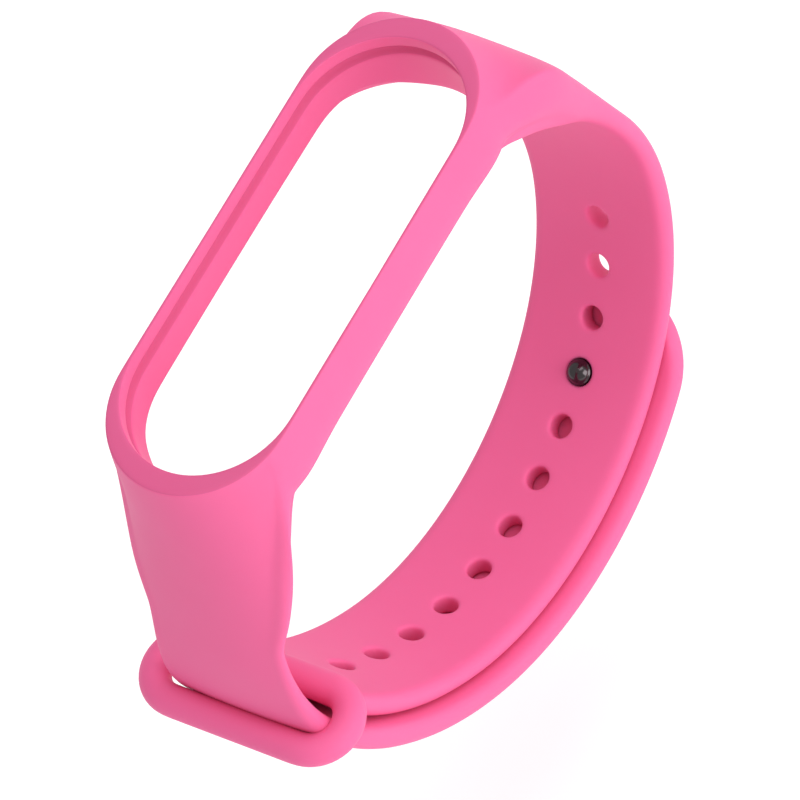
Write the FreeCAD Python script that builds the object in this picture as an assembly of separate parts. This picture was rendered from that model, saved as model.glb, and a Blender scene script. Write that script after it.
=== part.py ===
"""Replacement strap for a wrist fitness tracker, closed round the wrist.

The origin is the wrist centre: X runs along the strap at the tracker, Y is the wrist axis and
Z points out of the tracker opening. Lengths are in millimetres and angles in degrees.
"""
import FreeCAD, Part
import math
import os

os.makedirs("parts", exist_ok=True)
V = FreeCAD.Vector

# ---- tracker frame ------------------------------------------------------------------------
RIM_Z = 33.0                 # rim plane above the wrist centre
OPENING_HALF = 23.55         # half length of the stadium opening
OPENING_R = 9.05             # half width, and end radius, of the opening
RIM_HALF = 25.6              # half length of the rim's outer edge
RIM_R = 9.35                 # half width of the rim's outer edge
LIP_H = 1.7                  # straight lip above the groove
GROOVE_H = 1.4               # groove that grips the tracker's flange
GROOVE_DEPTH = 0.4
FRAME_X = 26.0               # the arms start here
FLARE_H = 16.0               # height over which the frame's end swells into the shoulder
FLARE_END = 7.2              # how far it swells lengthways over that height
FLARE_SIDE = 1.7             # how far it swells sideways
ARCH = (5.9, 7.2)            # underside below the rim, at the middle and at the shoulder
BEVEL = (9.6, 10.8, 5.9, 4.2)  # underside bevel of the long bars: y in, y out, depth in, depth out
RELIEF = (7.2, 5.6, 27.6, 16.0)  # hollow under each end: half width, depth, foot x, foot depth
HALF_WIDTHS = ((0.0, 9.35), (2.2, 10.15), (5.0, 10.5), (9.0, 10.0), (14.0, 8.9), (19.0, 8.2),
               (25.0, 7.95))  # depth below the rim, half width of the moulding

# ---- strap loop: the holes arm's inner face, walked round the wrist from the +X shoulder ------
LOOP_START = (20.5, 25.8)
LOOP_HEADING = -47.0
LOOP_ARCS = ((14.0, 66.0), (16.0, 26.5), (28.0, 27.5), (34.0, 30.0), (22.0, 36.0), (18.0, 22.0),
             (13.0, 160.0))  # length, radius
ARM_T = 2.1                  # thickness of the holes arm
TAIL_T = 2.4                 # thickness of the plain arm and the tail
TAIL_GAP = 0.2               # free play between the holes arm and the tail lying on it
SHOULDER_S = (23.0, 17.0)    # where the +X and -X shoulders' outer curves meet the parallel arms
ARM_END_S = 116.0            # end of the holes arm, inside the keeper
HOLE_1_S = 40.1
HOLE_PITCH = 5.82
HOLE_COUNT = 12
HOLE_R = 1.3
STUD_HOLE = 4                # the hole that the stud is pressed into
STUD_HOLE_R = 1.45           # that hole, stretched by the stud

# ---- keeper ---------------------------------------------------------------------------------
KEEPER_S = 116.0
KEEPER_BAR_R = 1.6
KEEPER_OFFSETS = (0.5, 7.1)  # height of the inner and the outer bar over the loop line
KEEPER_HALF = 11.0           # half length of the bar's centre line, ends included
KEEPER_LEAN = 18.0           # its outer bar leans up the arm by this angle
KEEPER_SHIFT = 0.8           # it sits this far to the +Y side

# ---- tail -----------------------------------------------------------------------------------
TAIL_HALF = 8.5
TIP_S = 49.0
TIP_R = 6.5
HINGE_STEPS = (12.0, 24.0, 36.0)  # hinges, counted from the stud back towards the keeper
HINGE_SLOT = 0.12            # width of the slot between two tail sections

# ---- stud -----------------------------------------------------------------------------------
NECK_R = 0.9
HEAD_R = 1.27
HEAD_H = 1.0                 # how far the head stands out of the holes arm's inner face
CAP_R = 3.2
CAP_T = 0.9
CAP_SUNK = 0.5


def station(s, offset=0.0):
    """Point and heading at length s along the loop, offset outwards."""
    x, z = LOOP_START
    heading = math.radians(LOOP_HEADING)
    for number, (length, radius) in enumerate(LOOP_ARCS):
        last = number == len(LOOP_ARCS) - 1
        step = s if last else min(s, length)
        turn = -step / radius
        cx, cz = x + radius * math.sin(heading), z - radius * math.cos(heading)
        heading += turn
        x, z = cx - radius * math.sin(heading), cz + radius * math.cos(heading)
        s -= step
        if s <= 1e-9:
            break
    return V(x - offset * math.sin(heading), 0, z + offset * math.cos(heading)), heading


def outward(s):
    """Unit vector away from the wrist at length s."""
    heading = station(s)[1]
    return V(-math.sin(heading), 0, math.cos(heading))


def run(start, end, offset):
    """Arc edges along the loop from length start to length end."""
    cuts, total = [start], 0.0
    for length, _ in LOOP_ARCS[:-1]:
        total += length
        if start + 1e-6 < total < end - 1e-6:
            cuts.append(total)
    cuts.append(end)
    return [Part.Arc(station(a, offset)[0], station((a + b) / 2, offset)[0],
                     station(b, offset)[0]).toShape() for a, b in zip(cuts, cuts[1:])]


def prism(edges, half):
    """Solid from a closed outline in the XZ plane, as wide as 2 * half along Y."""
    face = Part.Face(Part.Wire(Part.__sortEdges__(edges)))
    face.translate(V(0, -half, 0))
    return face.extrude(V(0, 2 * half, 0))


def line(a, b):
    return Part.makeLine(a, b)


def arc_from(point, heading, target):
    """Arc that leaves point along heading and ends at target."""
    chord = target - point
    normal = V(-math.sin(heading), 0, math.cos(heading))
    radius = chord.Length ** 2 / (2 * normal.dot(chord))
    centre = point + normal * radius
    middle = (point + target) * 0.5 - centre
    middle.normalize()
    return Part.Arc(point, centre + middle * abs(radius), target).toShape()


def stadium(half, radius, z, centre=None):
    """Closed outline in a level plane: two straight sides and two arcs, about +-centre."""
    c = half - radius if centre is None else centre
    return Part.Wire([line(V(-c, -radius, z), V(c, -radius, z)),
                      Part.Arc(V(c, -radius, z), V(half, 0, z), V(c, radius, z)).toShape(),
                      line(V(c, radius, z), V(-c, radius, z)),
                      Part.Arc(V(-c, radius, z), V(-half, 0, z), V(-c, -radius, z)).toShape()])


def stadium_block(half, radius, top, height):
    return Part.Face(stadium(half, radius, top - height)).extrude(V(0, 0, height))


def width_envelope():
    """Everything inside the moulding's half widths, swollen at the rim and narrow at the arms."""
    side = [V(0, y, RIM_Z - depth) for depth, y in HALF_WIDTHS]
    curve = Part.BSplineCurve()
    curve.interpolate(side)
    foot_y, foot_z = HALF_WIDTHS[-1][1], -RIM_Z - 10
    right = [curve.toShape(), line(side[-1], V(0, foot_y, foot_z))]
    mirror = [edge.mirror(V(0, 0, 0), V(0, 1, 0)) for edge in right]
    ends = [line(V(0, -HALF_WIDTHS[0][1], RIM_Z), side[0]),
            line(V(0, foot_y, foot_z), V(0, -foot_y, foot_z))]
    face = Part.Face(Part.Wire(Part.__sortEdges__(right + mirror + ends)))
    face.translate(V(-45, 0, 0))
    return face.extrude(V(90, 0, 0))


def end_envelope():
    """Everything inside the rounded frame ends, which flare downwards from the rim."""
    foot = stadium(RIM_HALF + FLARE_END, RIM_R + FLARE_SIDE, RIM_Z - FLARE_H, RIM_HALF - RIM_R)
    flare = Part.makeLoft([stadium(RIM_HALF, RIM_R, RIM_Z), foot], True)
    below = Part.makeBox(100, 60, 100, V(-50, -30, RIM_Z - FLARE_H - 100))
    return flare.fuse(below)


def loop_end():
    """Length along the loop at the -X shoulder."""
    return sum(length for length, _ in LOOP_ARCS)


def moulding_profile(side):
    """Prism of one arm with its half of the frame: side 1 is the holes arm, -1 the plain arm."""
    corner = V(side * LOOP_START[0], 0, RIM_Z - ARCH[1])
    crown = V(0, 0, RIM_Z - ARCH[0])
    top, rim = V(0, 0, RIM_Z), V(side * RIM_HALF, 0, RIM_Z)
    centre_z = RIM_Z - ARCH[0] - arch_radius()
    angle = math.asin(LOOP_START[0] / arch_radius()) / 2
    arch = Part.Arc(crown, V(side * arch_radius() * math.sin(angle), 0,
                             centre_z + arch_radius() * math.cos(angle)), corner).toShape()
    if side > 0:
        low, meet, far, inner, outer = 0.0, SHOULDER_S[0], ARM_END_S, 0.0, ARM_T
        arm = run(low, far, inner) + run(meet, far, outer)
    else:
        low, meet, far = loop_end(), loop_end() - SHOULDER_S[1], root_hinge_s()
        inner, outer = ARM_T + TAIL_GAP, ARM_T + TAIL_GAP + TAIL_T
        arm = run(far, low, inner) + run(far, meet, outer)
    first = station(low, inner)[0]
    point, heading = station(meet, outer)
    cap = line(station(far, inner)[0], station(far, outer)[0])
    edges = arm + [cap, arc_from(point, heading, rim), line(rim, top), line(top, crown), arch]
    if first.distanceToPoint(corner) > 1e-6:
        edges.append(line(first, corner))
    return prism(edges, 15)


def arch_radius():
    """Radius of the frame's arched underside."""
    rise = ARCH[1] - ARCH[0]
    return (LOOP_START[0] ** 2 + rise ** 2) / (2 * rise)


def hole_s(number):
    return HOLE_1_S + (number - 1) * HOLE_PITCH


def stud_s():
    return hole_s(STUD_HOLE)


def root_hinge_s():
    return stud_s() + HINGE_STEPS[-1]


def along(s, low, high, radius):
    """Cylinder square to the strap at length s, between two offsets."""
    return Part.makeCylinder(radius, high - low, station(s, low)[0], outward(s))


def moulding():
    """Frame and both arms in one piece, with the tracker opening and the strap's holes."""
    solid = moulding_profile(1).fuse(moulding_profile(-1))
    solid = solid.common(width_envelope()).common(end_envelope())
    solid = solid.cut(stadium_block(OPENING_HALF, OPENING_R, RIM_Z + 1, 9.5))
    groove = stadium_block(OPENING_HALF + GROOVE_DEPTH, OPENING_R + GROOVE_DEPTH,
                           RIM_Z - LIP_H, GROOVE_H)
    solid = solid.cut(groove).cut(bar_bevels())
    return solid.cut(end_relief(1)).cut(end_relief(-1)).removeSplitter()


def end_relief(side):
    """Hollow under one end of the opening, which leaves the end wall as tall as the bars."""
    half, depth, foot_x, foot_depth = RELIEF
    outline = [(0, depth), (OPENING_HALF, depth), (foot_x, foot_depth), (0, foot_depth)]
    points = [V(side * x, 0, RIM_Z - d) for x, d in outline]
    lower = prism([line(a, b) for a, b in zip(points, points[1:] + points[:1])], half)
    keep = Part.makeBox(15, 30, 30, V(side * 23.5 - 7.5, -15, RIM_Z - 25))
    return lower.common(keep)


def bar_bevels():
    """Wedges that bevel the underside of the two long bars."""
    y_in, y_out, deep, shallow = BEVEL
    wedges = []
    for side in (1, -1):
        points = [V(0, side * y_in, RIM_Z - deep), V(0, side * y_out, RIM_Z - shallow),
                  V(0, side * y_out, RIM_Z - 9), V(0, side * y_in, RIM_Z - 9)]
        face = Part.Face(Part.makePolygon(points + points[:1]))
        face.translate(V(-LOOP_START[0], 0, 0))
        wedges.append(face.extrude(V(2 * LOOP_START[0], 0, 0)))
    return wedges[0].fuse(wedges[1])


def frame_box():
    return Part.makeBox(2 * FRAME_X, 30, 15.5, V(-FRAME_X, -15, RIM_Z - 15.5))


def capsule_frame(whole):
    return whole.common(frame_box())


def arms(whole):
    """The holes arm, pierced, and the plain arm as far as the first tail hinge."""
    pieces = sorted(whole.cut(frame_box()).Solids, key=lambda solid: solid.BoundBox.XMax)
    plain, holes = pieces[0], pieces[-1]
    for number in range(1, HOLE_COUNT + 1):
        radius = STUD_HOLE_R if number == STUD_HOLE else HOLE_R
        holes = holes.cut(along(hole_s(number), -1.0, ARM_T + 1.0, radius))
    return holes, plain


def keeper_loop():
    """Round bar bent to a stadium that stands square to the strap."""
    low, high = KEEPER_OFFSETS
    r = (high - low) / 2
    y = KEEPER_HALF - r
    n, lean = outward(KEEPER_S), math.radians(KEEPER_LEAN)
    up = V(0, 1, 0).cross(n)
    n_out = n * math.cos(lean) + up * math.sin(lean)
    base = station(KEEPER_S, low)[0] + V(0, KEEPER_SHIFT, 0)

    def at(across, height):
        return base + n_out * (height - low) + V(0, across, 0)

    mid = (low + high) / 2
    path = Part.Wire([line(at(-y, low), at(y, low)),
                      Part.Arc(at(y, low), at(y + r, mid), at(y, high)).toShape(),
                      line(at(y, high), at(-y, high)),
                      Part.Arc(at(-y, high), at(-y - r, mid), at(-y, low)).toShape()])
    section = Part.Wire(Part.makeCircle(KEEPER_BAR_R, at(-y, low), V(0, 1, 0)))
    return path.makePipeShell([section], True, True)


def tail_blank():
    """Tail from the root hinge to its rounded tip, before it is cut into sections."""
    inner, outer = ARM_T + TAIL_GAP, ARM_T + TAIL_GAP + TAIL_T
    edges = run(TIP_S, root_hinge_s(), inner) + run(TIP_S, root_hinge_s(), outer)
    for s in (TIP_S, root_hinge_s()):
        edges.append(line(station(s, inner)[0], station(s, outer)[0]))
    blank = prism(edges, TAIL_HALF)
    ends = [edge for edge in blank.Edges if is_tip_corner(edge)]
    blank = blank.makeFillet(TIP_R, ends)
    pocket = along(stud_s(), outer - CAP_SUNK, outer + 1, CAP_R)
    return blank.cut(pocket).cut(along(stud_s(), inner - 1, outer + 1, NECK_R))


def is_tip_corner(edge):
    """True for the two short edges at the corners of the tail's end."""
    if len(edge.Vertexes) != 2:
        return False
    tip = station(TIP_S, ARM_T + TAIL_GAP + TAIL_T / 2)[0]
    middle = edge.BoundBox.Center
    flat = edge.BoundBox.YLength < 1e-3 and abs(abs(middle.y) - TAIL_HALF) < 1e-3
    return flat and math.hypot(middle.x - tip.x, middle.z - tip.z) < 0.2


def slot(s):
    """Thin slot square to the strap, with its outer edge on the hinge axis."""
    n, t = outward(s), V(0, 1, 0).cross(outward(s))
    inner, outer = station(s, ARM_T)[0], station(s, ARM_T + TAIL_GAP + TAIL_T + 0.5)[0]
    points = [inner - t * HINGE_SLOT / 2, outer - t * HINGE_SLOT / 2,
              outer + t * HINGE_SLOT / 2, inner + t * HINGE_SLOT / 2]
    return prism([line(a, b) for a, b in zip(points, points[1:] + points[:1])], 15)


def tail_sections():
    """Tail sections from the tip back to the keeper."""
    blank = tail_blank()
    for step in HINGE_STEPS:
        blank = blank.cut(slot(stud_s() + step))
    return sorted(blank.Solids, key=lambda solid: -solid.CenterOfMass.x)


def stud_pin():
    """Turned pin with a neck and a domed head on the wrist side."""
    s = stud_s()
    neck_top = ARM_T + TAIL_GAP + TAIL_T - CAP_SUNK
    neck = along(s, 0.0, neck_top, NECK_R)
    ball_r = (HEAD_R ** 2 + HEAD_H ** 2) / (2 * HEAD_H)
    ball = Part.makeSphere(ball_r, station(s, ball_r - HEAD_H)[0])
    return neck.fuse(ball.common(along(s, -HEAD_H - 1, 0.0, 3.0))).removeSplitter()


def stud_cap():
    """Round outer cap sunk in the tail."""
    low = ARM_T + TAIL_GAP + TAIL_T - CAP_SUNK
    disc = along(stud_s(), low, low + CAP_T, CAP_R)
    rim = [edge for edge in disc.Edges
           if edge.BoundBox.Center.distanceToPoint(station(stud_s(), low + CAP_T)[0]) < 1e-3]
    return disc.makeFillet(0.35, rim)


def build():
    """Make every piece, in the order in which it meets its neighbours."""
    whole = moulding()
    keeper = keeper_loop()
    holes, plain = arms(whole)
    tip, middle, root = tail_sections()
    plain = plain.cut(slot(root_hinge_s()))
    return {
        "capsule_frame": capsule_frame(whole),
        "holes_arm": holes.cut(keeper),
        "keeper_loop": keeper,
        "plain_arm": plain,
        "tail_root": root,
        "tail_middle": middle,
        "tail_tip": tip,
        "stud_pin": stud_pin(),
        "stud_cap": stud_cap(),
    }


for name, shape in build().items():
    shape.exportStep("parts/%s.step" % name)
    print("%-14s solids %d  volume %9.3f  x %6.1f %6.1f  y %5.1f %5.1f  z %6.1f %6.1f" % (
        name, len(shape.Solids), shape.Volume, shape.BoundBox.XMin, shape.BoundBox.XMax,
        shape.BoundBox.YMin, shape.BoundBox.YMax, shape.BoundBox.ZMin, shape.BoundBox.ZMax))
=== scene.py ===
"""Looks of a replacement strap for a wrist fitness tracker, closed round the wrist.

The strap is one silicone moulding with a metal stud. Lengths are in millimetres until a mesh is
made, and the axes are the frame's: X along the strap at the tracker, Y along the wrist, Z out of
the tracker's opening.
"""
import logging
import math
from dataclasses import dataclass, field, replace
from enum import Enum
from typing import Any, Sequence

import bmesh
import bpy
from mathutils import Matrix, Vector


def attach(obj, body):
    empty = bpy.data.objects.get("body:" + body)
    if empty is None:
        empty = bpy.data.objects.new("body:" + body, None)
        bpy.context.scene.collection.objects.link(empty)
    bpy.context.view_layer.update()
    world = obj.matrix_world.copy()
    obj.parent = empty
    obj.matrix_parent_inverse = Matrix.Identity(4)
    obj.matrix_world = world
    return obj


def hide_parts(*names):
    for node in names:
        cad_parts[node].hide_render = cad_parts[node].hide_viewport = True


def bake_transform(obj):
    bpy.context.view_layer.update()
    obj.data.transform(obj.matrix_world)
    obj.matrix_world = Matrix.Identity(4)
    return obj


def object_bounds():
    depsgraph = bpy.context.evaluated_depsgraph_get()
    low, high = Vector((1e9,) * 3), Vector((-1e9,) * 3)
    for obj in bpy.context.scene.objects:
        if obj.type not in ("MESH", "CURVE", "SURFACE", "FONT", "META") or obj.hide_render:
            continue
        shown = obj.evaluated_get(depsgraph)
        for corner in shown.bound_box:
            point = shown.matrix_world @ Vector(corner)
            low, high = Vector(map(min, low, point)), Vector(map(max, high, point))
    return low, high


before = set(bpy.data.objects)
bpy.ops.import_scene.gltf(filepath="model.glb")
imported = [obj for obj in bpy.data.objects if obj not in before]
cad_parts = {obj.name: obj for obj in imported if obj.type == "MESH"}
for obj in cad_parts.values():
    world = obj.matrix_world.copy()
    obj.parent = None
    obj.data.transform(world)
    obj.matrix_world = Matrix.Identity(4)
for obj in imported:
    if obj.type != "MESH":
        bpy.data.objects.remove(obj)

CAD_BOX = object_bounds()
LOG = logging.getLogger("strap")
MM = 0.001
FACE = 20           # faces across a strap's broad side
EDGE = 8            # faces across its thin side
ROW_GAP = 0.78      # length of a face along a strap
CROWN_CURVE = 2.2   # power by which a strap's crown falls towards its edges
JUST = 1e-6         # slack of a comparison
ALONG = Vector((0.0, 1.0, 0.0))

Pair = tuple[float, float]
Row = list[Vector]


class Body(Enum):
    """Bodies that the pieces ride on."""

    STRAP = "strap"
    TAIL_ROOT = "tail_root_section"
    TAIL_MIDDLE = "tail_middle_section"
    TAIL_TIP = "tail_tip_section"


class Slot(Enum):
    """Material slots of the record."""

    SILICONE = "silicone"
    STUD_METAL = "stud_metal"


class Side(Enum):
    """The two ends of the tracker frame: the pierced arm's and the plain arm's."""

    PIERCED = 1
    PLAIN = -1


def mix(a: Any, b: Any, share: float) -> Any:
    """Value between a and b."""
    return a * (1.0 - share) + b * share


def ease(x: float, low: float = 0.0, high: float = 1.0) -> float:
    """Smooth step from 0 at low to 1 at high."""
    t = max(0.0, min(1.0, (x - low) / (high - low)))
    return t * t * (3.0 - 2.0 * t)


def spread(count: int, low: float = -1.0, high: float = 1.0) -> list[float]:
    """Evenly spaced values, both ends included, with count gaps."""
    return [low + (high - low) * k / count for k in range(count + 1)]


# ---- shader and geometry nodes --------------------------------------------------------------


class Wire:
    """One output of a node, with arithmetic that adds Math nodes."""

    def __init__(self, graph: "NodeGraph", socket: bpy.types.NodeSocket) -> None:
        """Args: graph: where its nodes are made. socket: the output that it stands for."""
        self.graph = graph
        self.socket = socket

    def _maths(self, operation: str, a: Any, b: Any) -> "Wire":
        """Math node on two values."""
        return self.graph.add(self.graph.maths, {"operation": operation}, {0: a, 1: b})

    def __add__(self, other: Any) -> "Wire":
        """Sum."""
        return self._maths("ADD", self, other)

    def __radd__(self, other: Any) -> "Wire":
        """Sum with a number on the left."""
        return self._maths("ADD", other, self)

    def __sub__(self, other: Any) -> "Wire":
        """Difference."""
        return self._maths("SUBTRACT", self, other)

    def __rsub__(self, other: Any) -> "Wire":
        """Difference from a number."""
        return self._maths("SUBTRACT", other, self)

    def __mul__(self, other: Any) -> "Wire":
        """Product."""
        return self._maths("MULTIPLY", self, other)

    def __rmul__(self, other: Any) -> "Wire":
        """Product with a number on the left."""
        return self._maths("MULTIPLY", other, self)


class NodeGraph:
    """Adds nodes to a shader or geometry tree."""

    maths = "ShaderNodeMath"

    def __init__(self, tree: bpy.types.NodeTree) -> None:
        """Args: tree: the tree to fill."""
        self.tree = tree

    def add(self, kind: str, settings: dict[str, Any] | None = None,
            sockets: dict[Any, Any] | None = None, out: Any = 0) -> Wire:
        """Adds a node.

        Args:
            kind: the node's type.
            settings: its properties, set first.
            sockets: values or wires of its inputs, by name or number.
            out: the output to return.

        Returns:
            The chosen output.
        """
        node = self.tree.nodes.new(kind)
        for name, value in (settings or {}).items():
            setattr(node, name, value)
        for key, value in (sockets or {}).items():
            if isinstance(value, Wire):
                self.tree.links.new(value.socket, node.inputs[key])
            else:
                node.inputs[key].default_value = value
        outputs = node.outputs
        return Wire(self, outputs[out] if len(outputs) else None)

    def last(self) -> bpy.types.Node:
        """The node added last."""
        return self.tree.nodes[-1]

    def split(self, vector: Wire) -> list[Wire]:
        """X, Y and Z of a vector."""
        self.add("ShaderNodeSeparateXYZ", {}, {0: vector})
        return [Wire(self, self.last().outputs[k]) for k in range(3)]


# ---- finishes -------------------------------------------------------------------------------


def linear(red: int, green: int, blue: int) -> tuple[float, float, float, float]:
    """Scene colour of a display colour.

    Args:
        red: its red, from 0 to 255.
        green: its green.
        blue: its blue.

    Returns:
        The linear colour, with full alpha.
    """
    def part(value: int) -> float:
        """One channel."""
        v = value / 255.0
        return v / 12.92 if v <= 0.04045 else ((v + 0.055) / 1.055) ** 2.4
    return part(red), part(green), part(blue), 1.0


def blank_material(name: str) -> tuple[bpy.types.Material, NodeGraph]:
    """Makes a node material with an empty tree.

    Args:
        name: the material's name.

    Returns:
        The material and its graph.
    """
    material = bpy.data.materials.new(name)
    material.use_nodes = True
    material.node_tree.nodes.clear()
    return material, NodeGraph(material.node_tree)


@dataclass(frozen=True)
class SiliconeFinish:
    """Moulded silicone with a satin, finely grained skin."""

    name: str = "pink_silicone"
    tint: tuple[int, int, int] = (240, 106, 158)
    deep_tint: tuple[int, int, int] = (237, 101, 153)
    roughness: float = 0.56
    specular: float = 0.28
    rim_z: float = 0.03292          # the rim's flat top lies above this height, in metres
    rim_painted_shade: float = 0.84         # painted shade: factor that darkens the colour of the rim's flat top
    groove_z: Pair = (0.02998, 0.0314)
    groove_plan: Pair = (0.0146, 0.00982)  # half length of its straights, reach from them
    # painted shade: factor that darkens the colour in the groove
    groove_painted_shade: float = 0.88
    grain: float = 0.00022          # size of the skin's grain, in metres
    grain_depth: float = 0.000009
    mottle: float = 0.011           # size of the soft clouds between the two tints
    smears: float = 300.0           # rubbed patches to a metre
    bleed: float = 0.12             # share of light that passes under the skin
    bleed_reach: float = 0.0012
    bleed_tint: tuple[float, float, float] = (1.0, 0.45, 0.6)

    @staticmethod
    def _above(graph: NodeGraph, value: Wire, limit: float) -> Wire:
        """1 where a value is above a limit, 0 elsewhere."""
        return graph.add("ShaderNodeMath", {"operation": "GREATER_THAN"}, {0: value, 1: limit})

    def _in_groove(self, graph: NodeGraph, x: Wire, y: Wire, z: Wire) -> Wire:
        """Mask of the groove that grips the tracker, where shade is painted into the colour.

        Args:
            graph: the silicone's tree.
            x: place along the strap.
            y: place along the wrist.
            z: height.

        Returns:
            1 inside the groove, 0 elsewhere.
        """
        straight, reach = self.groove_plan
        long = graph.add("ShaderNodeMath", {"operation": "ABSOLUTE"}, {0: x}) - straight
        past = graph.add("ShaderNodeMath", {"operation": "MAXIMUM"}, {0: long, 1: 0.0})
        outside = self._above(graph, past * past + y * y, reach ** 2)
        low, high = self.groove_z
        return (1.0 - outside) * self._above(graph, z, low) * (1.0 - self._above(graph, z, high))

    def make(self) -> bpy.types.Material:
        """Builds the material.

        Returns:
            The silicone material.
        """
        material, graph = blank_material(self.name)
        place = graph.add("ShaderNodeTexCoord", out="Object")
        cloud = graph.add("ShaderNodeTexNoise", {}, {"Vector": place, "Scale": 1 / self.mottle,
                                                     "Detail": 2.0, "Roughness": 0.5})
        skin = graph.add("ShaderNodeTexNoise", {}, {"Vector": place, "Scale": 1 / self.grain,
                                                    "Detail": 3.0, "Roughness": 0.6})
        smear = graph.add("ShaderNodeTexNoise", {}, {"Vector": place, "Scale": self.smears,
                                                     "Detail": 4.0, "Roughness": 0.6})
        colour = graph.add("ShaderNodeMix", {"data_type": "RGBA"},
                           {0: cloud, 6: linear(*self.deep_tint), 7: linear(*self.tint)}, 2)
        x, y, z = graph.split(place)
        # painted shade: the rim's flat top is darkened in the colour below
        rim = self._above(graph, z, self.rim_z)
        # painted shade: the groove is darkened in the colour below
        groove = self._in_groove(graph, x, y, z)
        shade = 1.0 - rim * (1.0 - self.rim_painted_shade) - groove * (1.0 - self.groove_painted_shade)
        colour = graph.add("ShaderNodeVectorMath", {"operation": "SCALE"},
                           {0: colour, "Scale": shade})
        rough = self.roughness - 0.05 + smear * 0.06 + skin * 0.04 + rim * 0.08
        bump = graph.add("ShaderNodeBump", {}, {"Strength": 0.5, "Distance": self.grain_depth,
                                                "Height": skin})
        shader = graph.add("ShaderNodeBsdfPrincipled", {"subsurface_method": "RANDOM_WALK"},
                           {"Base Color": colour, "Roughness": rough, "Normal": bump,
                            "Subsurface Weight": self.bleed,
                            "Subsurface Scale": self.bleed_reach,
                            "Subsurface Radius": self.bleed_tint, "IOR": 1.41,
                            "Specular IOR Level": self.specular})
        graph.add("ShaderNodeOutputMaterial", {}, {"Surface": shader})
        return material


@dataclass(frozen=True)
class GunmetalFinish:
    """Dark plated metal, turned and lightly polished."""

    name: str = "gunmetal_stud"
    tint: tuple[int, int, int] = (84, 78, 80)
    dark: float = 0.85              # factor on the tint in the darker patches
    roughness: float = 0.17
    flecks: float = 2500.0          # polishing marks to a metre
    patches: float = 500.0          # darker patches to a metre

    def make(self) -> bpy.types.Material:
        """Builds the material.

        Returns:
            The metal material.
        """
        material, graph = blank_material(self.name)
        place = graph.add("ShaderNodeTexCoord", out="Object")
        fleck = graph.add("ShaderNodeTexNoise", {}, {"Vector": place, "Scale": self.flecks,
                                                     "Detail": 3.0, "Roughness": 0.6})
        bloom = graph.add("ShaderNodeTexNoise", {}, {"Vector": place, "Scale": self.patches,
                                                     "Detail": 2.0, "Roughness": 0.5})
        colour = graph.add("ShaderNodeMix", {"data_type": "RGBA"},
                           {0: bloom, 6: linear(*self.tint),
                            7: linear(*[int(c * self.dark) for c in self.tint])}, 2)
        rough = self.roughness - 0.04 + fleck * 0.1
        bump = graph.add("ShaderNodeBump", {}, {"Strength": 0.3, "Distance": 0.000004,
                                                "Height": fleck})
        shader = graph.add("ShaderNodeBsdfPrincipled", {},
                           {"Base Color": colour, "Roughness": rough, "Normal": bump,
                            "Metallic": 1.0})
        graph.add("ShaderNodeOutputMaterial", {}, {"Surface": shader})
        return material


@dataclass(frozen=True)
class FloorFinish:
    """Plain matt white floor."""

    name: str = "studio_floor"
    tint: tuple[int, int, int] = (250, 250, 250)
    glow: float = 0.22

    def make(self) -> bpy.types.Material:
        """Builds the material.

        Returns:
            The floor material.
        """
        material, graph = blank_material(self.name)
        shader = graph.add("ShaderNodeBsdfPrincipled", {},
                           {"Base Color": linear(*self.tint), "Roughness": 0.9,
                            "Specular IOR Level": 0.1, "Emission Color": (1.0, 1.0, 1.0, 1.0),
                            "Emission Strength": self.glow})
        graph.add("ShaderNodeOutputMaterial", {}, {"Surface": shader})
        return material


# ---- mesh making ----------------------------------------------------------------------------


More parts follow.
